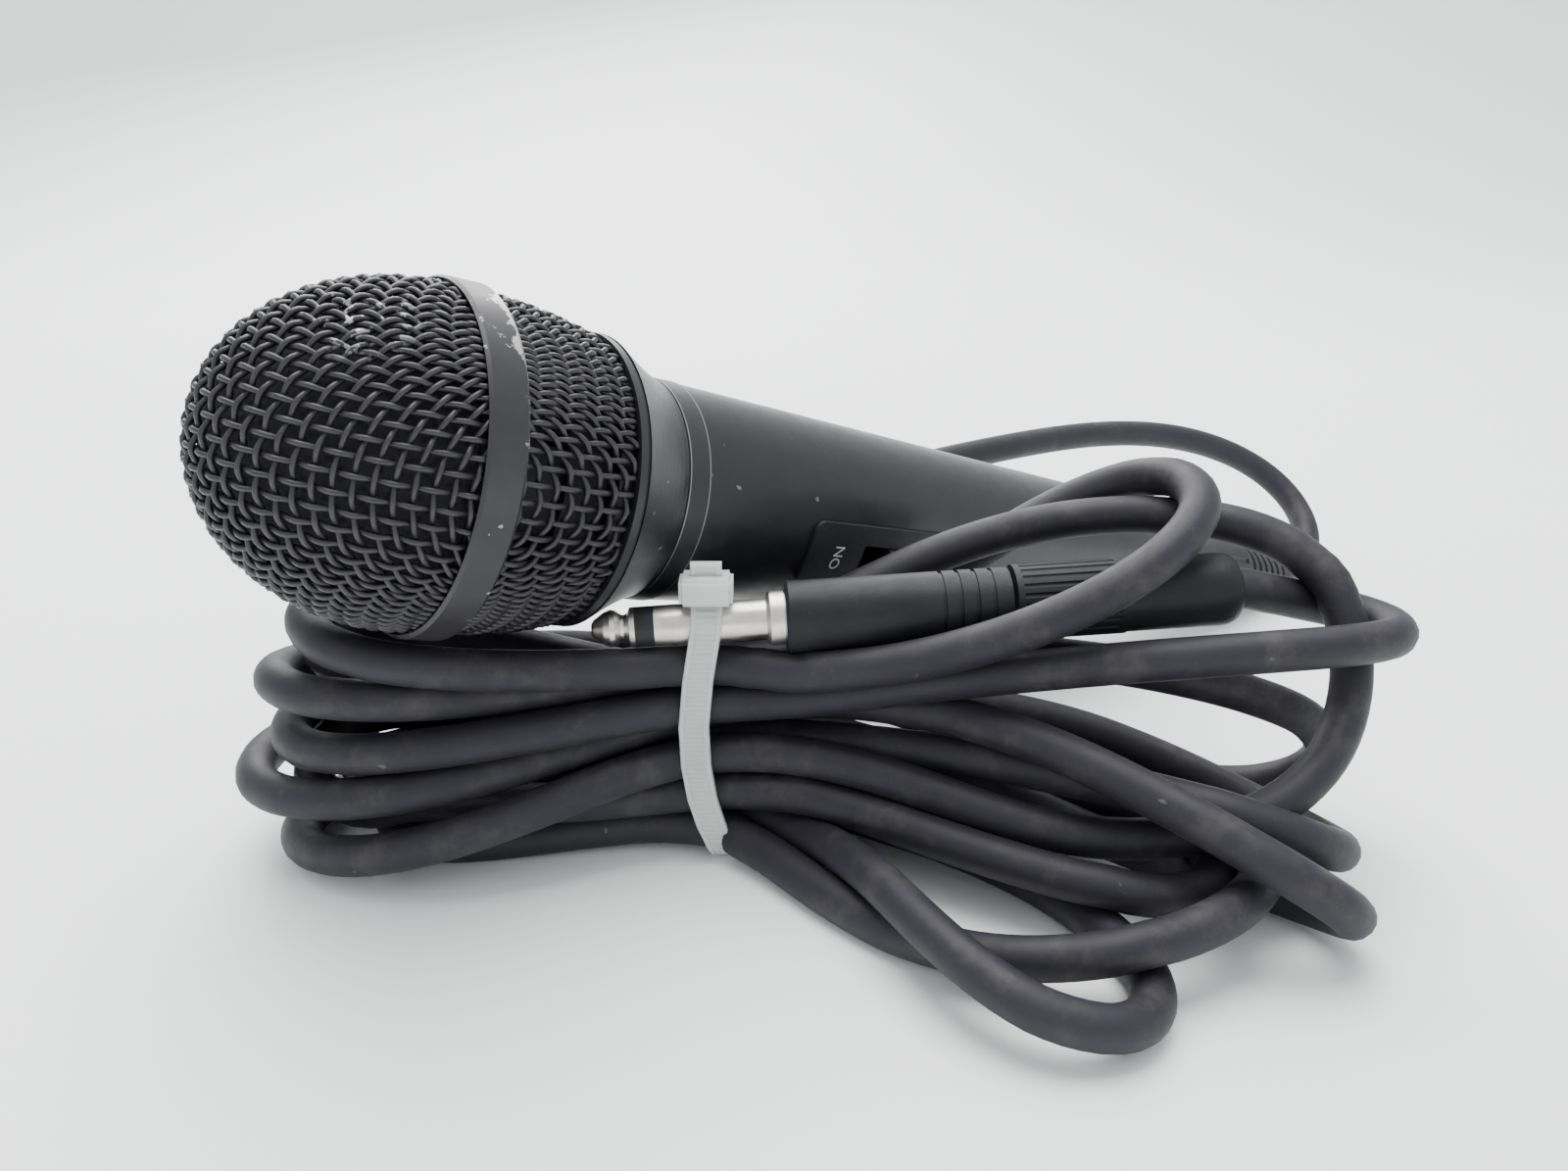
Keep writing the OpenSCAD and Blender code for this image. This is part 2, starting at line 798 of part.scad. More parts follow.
module jack_barrel() {
    // Four grip rings near the rear end
    grip_rings = 4;
    first = barrel_w1 - 11;
    pitch = 2.6;
    steps = [for (k = [0 : grip_rings - 1], c = [0 : 3])
        [barrel_r - (c == 1 || c == 2 ? 0.35 : 0), first + k * pitch + (c > 1 ? 0.6 : 0)]];
    color([0.07, 0.07, 0.08])
        place_jack()
            rotate_extrude()
                polygon(concat(
                    [[4.05, plug_len + 0.2], [barrel_r - 0.4, plug_len + 0.2],
                     [barrel_r, plug_len + 0.7]],
                    steps,
                    [[barrel_r, barrel_w1], [4.7, barrel_w1], [4.7, plug_len + 12],
                     [4.05, plug_len + 12]]
                ));
}
module jack_clamp() {
    // Two jaws that grip the jacket inside the barrel
    color([0.5, 0.5, 0.5])
        place_jack()
            difference() {
                tube(cord_r + gap, 4.6, 48, 64);
                block(-6, 6, 1.6, 47, 65);
            }
}
module jack_grip() {
    ribs = 24;
    color([0.06, 0.06, 0.07])
        place_jack()
            difference() {
                tube(cord_r + gap, 6, grip_w0, grip_w1);
                for (k = [0 : ribs - 1])
                    rotate([0, 0, k * 360 / ribs])
                        translate([6.2, 0, grip_w0 + 1]) cylinder(r = 0.45, h = 15, $fn = 16);
            }
}
module jack_boot() {
    color([0.05, 0.05, 0.06])
        place_jack()
            rotate_extrude()
                polygon(concat(
                    [[cord_r + gap, grip_w1], [5.8, grip_w1]],
                    [for (a = [0 : 15 : 90]) [4.2 + 1.6 * cos(a), jack_end - 3 + 3 * sin(a)]],
                    [[cord_r + gap, jack_end]]
                ));
}

// ---------------------------------------------------------------- cable tie

module cable_tie() {
    head_v = jack_tip_at[1] - 2.2;
    head_z = jack_tip_at[2] + 5.4;
    color([0.85, 0.87, 0.85])
        place_hank() {
            across_hank(tie_w)
                difference() {
                    tie_outline(tie_t);
                    tie_outline(0);
                }
            // Head with its slot, and the trimmed end of the strap standing out of it
            translate([tie_u - 4.2, head_v - 2.2, head_z - 0.4]) cube([8.4, 5.4, 4.4]);
            translate([tie_u - tie_w / 2, head_v - 0.4, head_z + 3.5]) cube([tie_w, tie_t, 2.4]);
        }
}

grille_front();
grille_rear();
grille_band();
grille_collar();
foam_liner();
gasket_ring();
capsule_cap();
diaphragm();
surround();
voice_coil();
top_plate();
pole_piece();
magnet();
yoke();
damping_felt();
capsule_housing();
terminal_board();
shock_mount();
capsule_leads();
handle_shell();
label_band();
switch_plate();
switch_slider();
switch_body();
switch_screws();
switch_leads();
xlr_insert();
xlr_pins();
insert_screw();
connector_shell();
connector_insert();
connector_sockets();
latch_button();
cable_chuck();
clamp_nut();
connector_boot();
cord_tail();
cord_hank();
cord_lead();
jack_tip();
jack_insulator();
jack_sleeve();
jack_body();
jack_barrel();
jack_clamp();
jack_grip();
jack_boot();
cable_tie();
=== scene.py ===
# Dynamic microphone that lies on a tied hank of its own cable.
# Lengths are in millimetres until they become mesh points, which are in metres.
import json
import math

import bmesh
import bpy
import mathutils
import numpy as np
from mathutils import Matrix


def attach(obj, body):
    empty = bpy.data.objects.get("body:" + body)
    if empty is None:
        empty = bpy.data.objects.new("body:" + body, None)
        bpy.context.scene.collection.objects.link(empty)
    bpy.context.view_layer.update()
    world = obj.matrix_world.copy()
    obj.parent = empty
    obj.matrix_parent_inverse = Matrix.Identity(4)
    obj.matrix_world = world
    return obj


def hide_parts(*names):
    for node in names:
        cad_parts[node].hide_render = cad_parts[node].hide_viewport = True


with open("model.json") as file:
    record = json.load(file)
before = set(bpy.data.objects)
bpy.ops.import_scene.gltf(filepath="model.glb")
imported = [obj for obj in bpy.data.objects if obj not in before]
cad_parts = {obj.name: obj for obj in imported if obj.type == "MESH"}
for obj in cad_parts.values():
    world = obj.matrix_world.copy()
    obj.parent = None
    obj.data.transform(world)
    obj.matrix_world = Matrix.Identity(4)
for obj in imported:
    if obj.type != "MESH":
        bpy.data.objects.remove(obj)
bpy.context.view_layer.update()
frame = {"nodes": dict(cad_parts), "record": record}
MM = 0.001

# ------------------------------------------------------------------ frames
# The microphone's axis comes from the joint that unscrews its grille.
TURN_JOINT = next(j for j in frame["record"]["behaviour"]["joints"] if j["name"] == "grille_turn")
HEAD = np.array(TURN_JOINT["axis"], float)
TAIL = -HEAD
JOINT_S = 24.0
RING = np.array(TURN_JOINT["pos_m"], float) / MM - TAIL * JOINT_S
SIDE = np.array([0.0, 1.0, 0.0])
DOWN = np.cross(SIDE, TAIL)
HANK_TURN = math.radians(34.6)
ALONG = np.array([math.cos(HANK_TURN), -math.sin(HANK_TURN), 0.0])
AWAY = np.array([math.sin(HANK_TURN), math.cos(HANK_TURN), 0.0])
UP = np.array([0.0, 0.0, 1.0])


def mic_point(s, out=0.0, angle=0.0):
    """A point at s behind the ball's ring; angle 0 is straight down."""
    a = math.radians(angle)
    return RING + TAIL * s + out * (math.cos(a) * DOWN + math.sin(a) * SIDE)


def hank_point(p):
    return np.array([RING[0], 0.0, 0.0]) + p[0] * ALONG + p[1] * AWAY + p[2] * UP


# ------------------------------------------------------------------ camera
EYE = (52.9, -192.7, 118.5)
PITCH = math.radians(20.25)
camera = bpy.data.objects.new("camera", bpy.data.cameras.new("camera"))
camera.data.lens = 30.53
camera.data.sensor_width = 36.0
camera.data.clip_start = 0.01
camera.location = hank_point(EYE) * MM
camera.rotation_euler = (math.radians(90) - PITCH, 0, -HANK_TURN)
bpy.context.collection.objects.link(camera)
bpy.context.scene.camera = camera


# ------------------------------------------------------------------ the cable
CORD_R = 3.25
MIN_BEND = 15.0
STEP = 2.8
FINE_STEP = 2.3
OPENING_ROUNDS = 200
ROUNDS = 260
# Points at each end of the cable that stay in the boot and in the plug
HELD_START = 6
HELD_END = 4
# Points before the plug that are evened out at the end
LAST_TURN = 28
# Points further away than this are the stretch behind the microphone, which the tie doesn't hold
TIE_DEPTH = 32
TIE_U = 41.0
TIE_SIDES = (0.3, 20.7)
TIE_FLOOR = 4.6
TIE_TOP = 34.8
JACK_TIP = np.array([23, -1.2, 40.5])
JACK_END = np.array([125, 5.5, 45])
JACK_DIR = (JACK_END - JACK_TIP) / np.linalg.norm(JACK_END - JACK_TIP)
JACK_LEN = 101.8
# Route behind the microphone, from the middle of the ring
TAIL_ROUTE = [
    (222.5, 0.4, 3.6), (232, 1.6, 4.4), (242, 5.6, 8), (247, 13, 14.5), (245, 22.5, 21),
    (236.5, 31, 27), (223, 36.5, 31), (206, 40, 34), (186, 40.5, 36.5), (164.5, 39.5, 38),
    (144, 38, 38.5), (122, 36, 38.5), (98, 33, 38.5), (74.5, 29, 38.5), (53, 24, 38.5),
    (36.5, 21, 38),
]
# Route from the jack plug round to the hank: along, away, up
LEAD_ROUTE = [
    (131.5, 6.8, 45), (135.7, 10.6, 44.5), (139.4, 14.3, 43.8), (144.4, 15.8, 42.5), (149.6, 14.4, 41),
    (153.3, 10.6, 39.5), (154.6, 5.4, 38.3), (153, 0.4, 37.6), (149.4, -3.2, 37.4), (143, -4.8, 37.8),
    (135, -4.5, 38.5), (122, -5, 39.5), (107, -6, 38.9), (92, -6, 36.8), (77, -5, 34.4), (60, -3, 31),
]
# Places of the strands inside the tie: away, up
SLOTS = dict(
    A=(0.2, 34.8), B=(0.3, 28), F=(0.3, 19.4), G=(0.8, 11.6), H=(0.3, 4.6),
    R=(6.9, 32), D=(6.6, 25.4), E=(6.6, 18.6), g=(7.2, 11.6), I=(6.9, 4.6),
    P=(13.4, 31.8), a=(13.2, 25.2), d=(13.2, 18.4), i=(13.6, 11.6), h=(13.6, 4.6),
    r=(19.8, 27.4), e=(19.9, 20.4),
)
# Middle points of each loop of the hank: along, away, up.
# A loop's name is the strand that it leaves by and the strand that it comes back by.
FIRST_BEND = [
    (10, 29, 37), (-4, 26, 38.5), (-18, 20, 40), (-28, 10, 42), (-29, 0, 43), (-20, -8, 42.5),
    (-8, -11, 40.5), (4, -11.5, 38.8), (22, -8, 37.5),
]
LOOPS = {
    "Aa": [(66, -7, 37.5), (90, -8, 45), (110, -4, 52), (122, 5, 56), (125, 16, 58),
           (120, 26, 57), (106, 31, 53), (88, 29, 47), (64, 18, 36)],
    "PF": [(66, 17.5, 43), (85, 22, 49.5), (105, 22, 53), (120, 22, 52), (132, 17.5, 52.5),
           (139, 12.5, 50), (144, 7, 43), (145, 3.5, 34), (142, 0, 25), (139, -9, 17), (132, -18, 11.5),
           (119, -25, 9.6), (103, -22, 9.6), (86, -13, 11), (66, -4, 15)],
    "Rr": [(66, 7, 33), (88, 7, 33), (106, 6, 31.5), (122, 5, 29), (138, 4, 24), (151, 3, 17),
           (155, 8, 10), (148, 14, 5), (132, 18, 4), (112, 18, 7), (85, 18, 16), (62, 18, 24)],
    "Dd": [(62, 2, 26), (78, -3, 28), (94, -10, 28), (108, -19, 22), (120, -28, 15),
           (131, -37, 8), (139, -43, 4), (144, -38, 3.3), (141, -28, 3.3), (131, -18, 3.3), (112, -7, 4),
           (88, 4, 8), (64, 10, 14)],
    "Ee": [(62, 2, 20), (78, 0, 20), (94, -6, 18.5), (108, -15, 16), (121, -23, 14),
           (134, -25, 9), (143, -18, 6), (145, -7, 4), (136, 2, 4), (118, 10, 8), (98, 18, 12), (68, 22, 17)],
    "Gg": [(62, -2, 8.5), (79, -13, 6), (94, -25, 4.4), (108, -33, 3.3), (121, -31, 3.3),
           (125, -19, 3.3), (117, -6, 3.3), (100, 3, 4), (84, 8, 5), (62, 8, 9)],
    "Hh": [(55, -10, 3.8), (60, -20, 3.3), (69, -34, 3.3), (83, -43, 3.3), (98, -43, 3.3), (112, -37, 3.3),
           (124, -24, 3.3), (129, -8, 3.3), (121, 8, 3.3), (100, 15, 3.3), (70, 15, 3.3)],
    "Ii": [(55, -9, 9.4), (64, -24, 9.5), (74, -43, 8), (86, -56, 4), (99, -57.5, 3.3),
           (108, -49, 3.3), (107, -37, 3.3), (98, -24, 3.3), (86, -9, 3.3), (70, 6, 6)],
    "aP": [(20, 17, 31), (0, 22, 35), (-20, 18, 36), (-30, 6, 37), (-28, -4, 36.5),
           (-14, -6, 33), (6, -2, 33), (25, 6, 33)],
    "Fh": [(30, -5, 16.5), (18, -10, 12.5), (4, -12.5, 7.5), (-8, -13.5, 4.5), (-23, -11, 3.3),
           (-33, 3, 3.3), (-27, 18, 3.3), (-8, 25, 3.3), (20, 20, 3.3)],
    "Hi": [(25, -1.5, 4), (8, -4.5, 3.3), (-5, -6.5, 3.3), (-17, -5, 3.3), (-24, 5, 3.3), (-18, 15, 3.3),
           (-5, 18, 3.3), (8, 17, 3.3), (25, 15, 7)],
    "IE": [(25, 6, 4.4), (10, 1, 6.5), (-5, -6, 9.7), (-20, -6, 10), (-32, 5, 10), (-25, 18, 10),
           (-8, 23, 11), (20, 13, 17)],
    "eG": [(20, 22, 15), (0, 26, 11), (-20, 22, 10), (-28, 12, 9.7), (-22, -2, 9.7),
           (-8, -10, 10.5), (6, -8, 4), (20, -7, 5.5), (30, -4, 9.5)],
    "gD": [(20, 11, 13), (0, 24, 16), (-20, 25, 15), (-35, 17, 13), (-40, 5, 14),
           (-33, -7, 14.5), (-18, -12, 15.5), (-4, -12.5, 17), (18, -8.5, 21)],
    "dR": [(20, 18, 20), (0, 24, 24), (-18, 22, 28), (-31, 12, 31), (-35, 0, 32),
           (-28, -9, 32), (-16, -12, 32.5), (-2, -12, 33), (19, -5, 33)],
    "rB": [(20, 22, 27), (0, 26, 26), (-20, 21, 23), (-32, 9, 21), (-33, -1, 20.5),
           (-26, -9, 21), (-18, -11.5, 22), (-4, -12, 24), (19, -8, 27.2)],
}
STRANDS = "AaPFhHiIEeGgDdRrB"


def cable_points():
    """Points of the whole cable, from the connector's boot to the plug."""
    points = [mic_point(s) for s in (209, 215.5)]
    points += [np.array([RING[0] + p[0], p[1], p[2]]) for p in TAIL_ROUTE]
    bends = [FIRST_BEND]
    for one, two in zip(STRANDS, STRANDS[1:]):
        bends.append(LOOPS[one + two] if one + two in LOOPS else LOOPS[two + one][::-1])
    for name, bend in zip(STRANDS, bends):
        points += [hank_point(p) for p in bend]
        reach = 5 if bend[-1][0] < TIE_U else -5
        points += [hank_point((TIE_U + d, *SLOTS[name])) for d in (-reach, reach)]
    points += [hank_point(p) for p in reversed(LEAD_ROUTE)]
    points += [hank_point(JACK_TIP + JACK_DIR * (JACK_LEN + w)) for w in (2, -5)]
    return np.array(points)


def smooth_line(points, step):
    """A curve through the points, cut into even steps."""
    ends = [2 * points[0] - points[1]], [2 * points[-1] - points[-2]]
    p = np.concatenate([ends[0], points, ends[1]])
    fine = []
    for a, b, c, d in zip(p, p[1:], p[2:], p[3:]):
        t0, t1, t2, t3 = np.cumsum([0] + [max(np.linalg.norm(y - x), 0.01) ** 0.5
                                          for x, y in ((a, b), (b, c), (c, d))])
        for t in np.linspace(t1, t2, 12, endpoint=False):
            a1 = (t1 - t) / (t1 - t0) * a + (t - t0) / (t1 - t0) * b
            a2 = (t2 - t) / (t2 - t1) * b + (t - t1) / (t2 - t1) * c
            a3 = (t3 - t) / (t3 - t2) * c + (t - t2) / (t3 - t2) * d
            b1 = (t2 - t) / (t2 - t0) * a1 + (t - t0) / (t2 - t0) * a2
            b2 = (t3 - t) / (t3 - t1) * a2 + (t - t1) / (t3 - t1) * a3
            fine.append((t2 - t) / (t2 - t1) * b1 + (t - t1) / (t2 - t1) * b2)
    fine = np.array(fine + [points[-1]])
    along = np.concatenate([[0], np.cumsum(np.linalg.norm(np.diff(fine, axis=0), axis=1))])
    places = np.linspace(0, along[-1], int(along[-1] / step) + 1)
    return np.stack([np.interp(places, along, fine[:, k]) for k in range(3)], axis=1)


# Outline of the microphone and of the plug, as distance along each axis and radius
MIC_OUTLINE = [(-40, 0), (-34.4, 2), (-32, 10), (-27, 16.5), (-20, 22.6), (-10, 26.4), (-6, 27.6),
               (3, 27.6), (10, 26.4), (22, 24), (24, 23.8), (28, 21.4), (34, 18.5), (155, 13.3),
               (156, 9.6), (200, 9), (222, 5), (223, 0)]
JACK_OUTLINE = [(-2, 0), (0, 2.5), (3, 3.2), (27, 3.2), (27.2, 4.4), (30, 5.7), (83, 6), (101, 6),
                (102, 0)]


def push_out(p, start, axis, outline, skip):
    """Moves points out of a round body."""
    table = np.array(outline)
    s = (p - start) @ axis
    radial = p - start - s[:, None] * axis
    dist = np.linalg.norm(radial, axis=1)
    need = np.interp(s, table[:, 0], table[:, 1]) + CORD_R + 0.1
    inside = (s > table[0, 0]) & (s < table[-1, 0]) & (dist < need) & (dist > 0.01) & ~skip
    p[inside] += radial[inside] / dist[inside, None] * (need - dist)[inside, None] * 0.6


def open_bends(p, share):
    """Widens each bend that is tighter than the cable allows."""
    for m in (1, 2, 3, 4):
        middle = (p[2 * m:] + p[:-2 * m]) / 2
        sag = middle - p[m:-m]
        depth = np.maximum(np.linalg.norm(sag, axis=1), 1e-6)
        most = ((p[2 * m:] - p[:-2 * m]) ** 2).sum(axis=1) / (8 * MIN_BEND)
        fix = sag * (np.maximum(depth - most, 0) / depth * share)[:, None]
        p[m:-m] += fix
        p[2 * m:] -= fix / 2
        p[:-2 * m] -= fix / 2


def relax(p, rounds):
    """Lets the turns settle side by side, above the surface and clear of the hard pieces.

    Each round bends the cable towards smooth curves, pulls it to where it was wished, parts its
    strands, and keeps its length.
    """
    n = len(p)
    for _ in range(OPENING_ROUNDS):
        open_bends(p[HELD_START - 1:-HELD_END], 0.25)
    wished = p.copy()
    spacing = np.linalg.norm(np.diff(p, axis=0), axis=1)
    held = np.zeros(n, bool)
    held[:HELD_START] = True
    held[-HELD_END:] = True
    near_mic = np.arange(n) < 8
    near_jack = np.arange(n) > n - 7
    jack_start = hank_point(JACK_TIP)
    jack_axis = (hank_point(JACK_END) - jack_start) / JACK_LEN
    apart = 2 * CORD_R * 1.01
    own = int(round(apart * 2.2 / STEP))
    upper = np.triu_indices(n, own)
    for k in range(rounds):
        q = p.copy()
        for m in (1, 2, 4):
            bend = np.zeros_like(p)
            inner = slice(2 * m, n - 2 * m)
            bend[inner] = (-p[:-4 * m] + 4 * p[m:-3 * m] - 6 * p[inner] + 4 * p[3 * m:-m] - p[4 * m:]) / 16
            p += bend * 0.8
        open_bends(p, 0.4)
        p += (wished - p) * 0.03
        wished += (p - wished) * 0.04
        if k % 8 == 0:
            gap = ((p[upper[0]] - p[upper[1]]) ** 2).sum(axis=1)
            close = gap < (apart + 4) ** 2
            one, two = upper[0][close], upper[1][close]
        for _ in range(2):
            away = p[one] - p[two]
            dist = np.maximum(np.linalg.norm(away, axis=1), 0.01)
            short = np.maximum(apart - dist, 0)
            shift = away / dist[:, None] * (short * 0.3)[:, None]
            np.add.at(p, one, shift)
            np.add.at(p, two, -shift)
        push_out(p, RING, TAIL, MIC_OUTLINE, near_mic)
        push_out(p, jack_start, jack_axis, JACK_OUTLINE, near_jack)
        p[:, 2] = np.maximum(p[:, 2], CORD_R)
        tied = (np.abs((p - RING) @ ALONG - TIE_U) < 4) & ((p - RING) @ AWAY < TIE_DEPTH)
        deep = (p[tied] - RING) @ AWAY
        right = np.clip(deep, *TIE_SIDES)
        p[tied] += (right - deep)[:, None] * AWAY
        p[tied, 2] = np.clip(p[tied, 2], TIE_FLOOR, TIE_TOP - 0.3 * np.maximum(right - 1, 0))
        for first in (0, 1):
            i = np.arange(first, n - 1, 2)
            part = p[i + 1] - p[i]
            long = np.linalg.norm(part, axis=1)
            fix = part * ((long - spacing[i]) / long * 0.4)[:, None]
            p[i] += fix
            p[i + 1] -= fix
        p[held] = q[held]
    for _ in range(4):
        last = p[-LAST_TURN - 1:-2]
        p[-LAST_TURN:-3] = (last[:-2] + 2 * last[1:-1] + last[2:]) / 4
    return p


cable = smooth_line(relax(smooth_line(cable_points(), STEP), ROUNDS), FINE_STEP)


def add(name, data):
    piece = bpy.data.objects.new(name, data)
    bpy.context.collection.objects.link(piece)
    return piece


def tube_mesh(name, lines, radius, sides=8):
    """One mesh of round wires with closed ends."""
    points, faces = [], []
    ring = [(math.cos(2 * math.pi * k / sides), math.sin(2 * math.pi * k / sides)) for k in range(sides)]
    for line in lines:
        base = len(points)
        line = np.array(line)
        ways = np.gradient(line, axis=0)
        ways /= np.linalg.norm(ways, axis=1)[:, None]
        first = np.cross(ways[0], [0.3, 0.5, 0.8])
        for p, way in zip(line, ways):
            first = first - (first @ way) * way
            first /= np.linalg.norm(first)
            second = np.cross(way, first)
            points += [p + radius * (c * first + s * second) for c, s in ring]
        for i in range(len(line) - 1):
            for k in range(sides):
                m = (k + 1) % sides
                a = base + i * sides
                faces.append((a + k, a + m, a + sides + m, a + sides + k))
        faces.append(tuple(base + k for k in reversed(range(sides))))
        faces.append(tuple(base + (len(line) - 1) * sides + k for k in range(sides)))
    data = bpy.data.meshes.new(name)
    data.from_pydata([tuple(p * MM) for p in points], [], faces)
    data.polygons.foreach_set("use_smooth", [len(f) == 4 for f in faces])
    data.update()
    return add(name, data)


cord = tube_mesh("microphone_cable", [cable], CORD_R, 16)
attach(cord, "handle")
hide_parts("cord_tail", "cord_hank", "cord_lead")


# ------------------------------------------------------------------ materials
class Paint:
    """Builds one node material, with its shader at the end."""

    def __init__(self, name, rough=0.5, metal=0.0, coat=0.0, **sockets):
        self.mat = bpy.data.materials.new(name)
        self.mat.use_nodes = True
        self.tree = self.mat.node_tree
        self.shader = self.tree.nodes["Principled BSDF"]
        self.set("Roughness", rough)
        self.set("Metallic", metal)
        self.set("Coat Weight", coat)
        for key, value in sockets.items():
            self.set(key.replace("_", " "), value)
        self.place = self.node("ShaderNodeTexCoord").outputs["Object"]

    def node(self, kind, **values):
        made = self.tree.nodes.new(kind)
        for key, value in values.items():
            setattr(made, key, value)
        return made

    def link(self, out, socket):
        self.tree.links.new(out, socket)

    def set(self, name, value):
        self.shader.inputs[name].default_value = value

    def into(self, name, out):
        self.link(out, self.shader.inputs[name])

    def noise(self, scale, detail=4.0, rough=0.55, stretch=None):
        made = self.node("ShaderNodeTexNoise")
        made.inputs["Scale"].default_value = scale
        made.inputs["Detail"].default_value = detail
        made.inputs["Roughness"].default_value = rough
        place = self.place
        if stretch is not None:
            turn = self.node("ShaderNodeMapping")
            turn.inputs["Rotation"].default_value = stretch[0]
            turn.inputs["Scale"].default_value = stretch[1]
            self.link(self.place, turn.inputs["Vector"])
            place = turn.outputs["Vector"]
        self.link(place, made.inputs["Vector"])
        return made.outputs["Fac"]

    def cells(self, scale, feature="F1"):
        made = self.node("ShaderNodeTexVoronoi", feature=feature)
        made.inputs["Scale"].default_value = scale
        self.link(self.place, made.inputs["Vector"])
        return made.outputs["Distance"]

    def ramp(self, fac, *stops):
        made = self.node("ShaderNodeValToRGB")
        self.link(fac, made.inputs["Fac"])
        bar = made.color_ramp.elements
        while len(bar) < len(stops):
            bar.new(0.5)
        for stop, (at, colour) in zip(bar, stops):
            stop.position = at
            stop.color = colour if len(colour) == 4 else (*colour, 1)
        return made.outputs["Color"]

    def math(self, kind, a, b):
        made = self.node("ShaderNodeMath", operation=kind)
        for socket, value in zip(made.inputs, (a, b)):
            if isinstance(value, (int, float)):
                socket.default_value = value
            else:
                self.link(value, socket)
        return made.outputs[0]

    def mix(self, fac, a, b):
        made = self.node("ShaderNodeMix", data_type="RGBA")
        self.link(fac, made.inputs["Factor"])
        for socket, value in zip((made.inputs[6], made.inputs[7]), (a, b)):
            if isinstance(value, tuple):
                socket.default_value = (*value, 1)
            else:
                self.link(value, socket)
        return made.outputs[2]

    def spread(self, fac, low, high):
        made = self.node("ShaderNodeMapRange")
        self.link(fac, made.inputs["Value"])
        made.inputs["To Min"].default_value = low
        made.inputs["To Max"].default_value = high
        return made.outputs["Result"]

    def along(self, axis, start):
        """Distance in millimetres from a point, along an axis."""
        made = self.node("ShaderNodeVectorMath", operation="DOT_PRODUCT")
        shift = self.node("ShaderNodeVectorMath", operation="SUBTRACT")
        self.link(self.place, shift.inputs[0])
        shift.inputs[1].default_value = tuple(np.array(start) * MM)
        self.link(shift.outputs[0], made.inputs[0])
        made.inputs[1].default_value = tuple(np.array(axis) / MM)
        return made.outputs["Value"]

    def near(self, spot, reach):
        """1 close to a point, and 0 from the reach on, in millimetres."""
        far = self.node("ShaderNodeVectorMath", operation="DISTANCE")
        self.link(self.place, far.inputs[0])
        far.inputs[1].default_value = tuple(spot * MM)
        share = self.math("MULTIPLY", far.outputs["Value"], 1 / (reach * MM))
        return self.ramp(share, (0.3, (1, 1, 1)), (1, (0, 0, 0)))

    def bump(self, height, depth, strength=1.0):
        made = self.node("ShaderNodeBump")
        made.inputs["Strength"].default_value = strength
        made.inputs["Distance"].default_value = depth * MM
        self.link(height, made.inputs["Height"])
        self.into("Normal", made.outputs["Normal"])


# Angles round the microphone of the worn places on the ring and on the front dome
PATCH_ANGLE = -150
RUB_ANGLE = -150


def speckles(paint, scale, share, seed_scale):
    """Sparse specks: 1 on a speck and 0 elsewhere."""
    spots = paint.ramp(paint.cells(scale), (0, (1, 1, 1)), (share, (0, 0, 0)))
    patch = paint.ramp(paint.noise(seed_scale), (0.5, (0, 0, 0)), (0.62, (1, 1, 1)))
    return paint.math("MULTIPLY", spots, patch)


def painted_metal(name, colour, lighter, rough, shine, worn=None, grain=1400, depth=0.02):
    paint = Paint(name, rough=rough, Specular_IOR_Level=shine)
    tone = paint.ramp(paint.noise(120, 5), (0.3, colour), (0.75, lighter))
    dust = speckles(paint, 1700, 0.09, 60)
    tone = paint.mix(dust, tone, (0.12, 0.12, 0.125))
    if worn is not None:
        chip = worn(paint)
        tone = paint.mix(chip, tone, (0.42, 0.41, 0.4))
        paint.into("Metallic", chip)
    paint.into("Base Color", tone)
    paint.into("Roughness", paint.spread(paint.noise(260, 6), rough - 0.09, rough + 0.12))
    paint.bump(paint.noise(grain, 3), depth)
    return paint.mat


def band_chips(paint):
    """Paint gone along the ring's rear edge, most of all in one patch on its upper side."""
    s = paint.along(TAIL, RING)
    edge = paint.spread(s, 0.0, 0.17)
    edge.node.inputs["From Min"].default_value = 0.6
    edge.node.inputs["From Max"].default_value = 3.0
    patch = paint.near(mic_point(2.4, 26.8, PATCH_ANGLE), 13)
    total = paint.math("ADD", paint.math("ADD", edge, paint.math("MULTIPLY", patch, 0.19)),
                       paint.noise(240, 8, 0.72))
    chips = paint.ramp(total, (0.735, (0, 0, 0)), (0.75, (1, 1, 1)))
    scratch = paint.noise(330, 3, 0.5, ((0.4, 0.2, 0.9), (1, 0.12, 1)))
    scratch = paint.ramp(scratch, (0.71, (0, 0, 0)), (0.725, (0.7, 0.7, 0.7)))
    return paint.math("MAXIMUM", chips, scratch)


def label_lines(paint):
    """A thin pale line along each edge of the ring."""
    s = paint.along(TAIL, mic_point(36.45))
    edge = paint.math("ABSOLUTE", paint.math("SUBTRACT", paint.math("ABSOLUTE", s, 0.0), 1.8), 0.0)
    return paint.ramp(edge, (0.06, (0.5, 0.5, 0.5)), (0.1, (0, 0, 0)))


def handle_wear(paint):
    scratch = paint.noise(420, 2, 0.4, ((0.2, 0.5, 1.1), (1, 0.08, 1)))
    return paint.ramp(scratch, (0.76, (0, 0, 0)), (0.775, (0.3, 0.3, 0.3)))


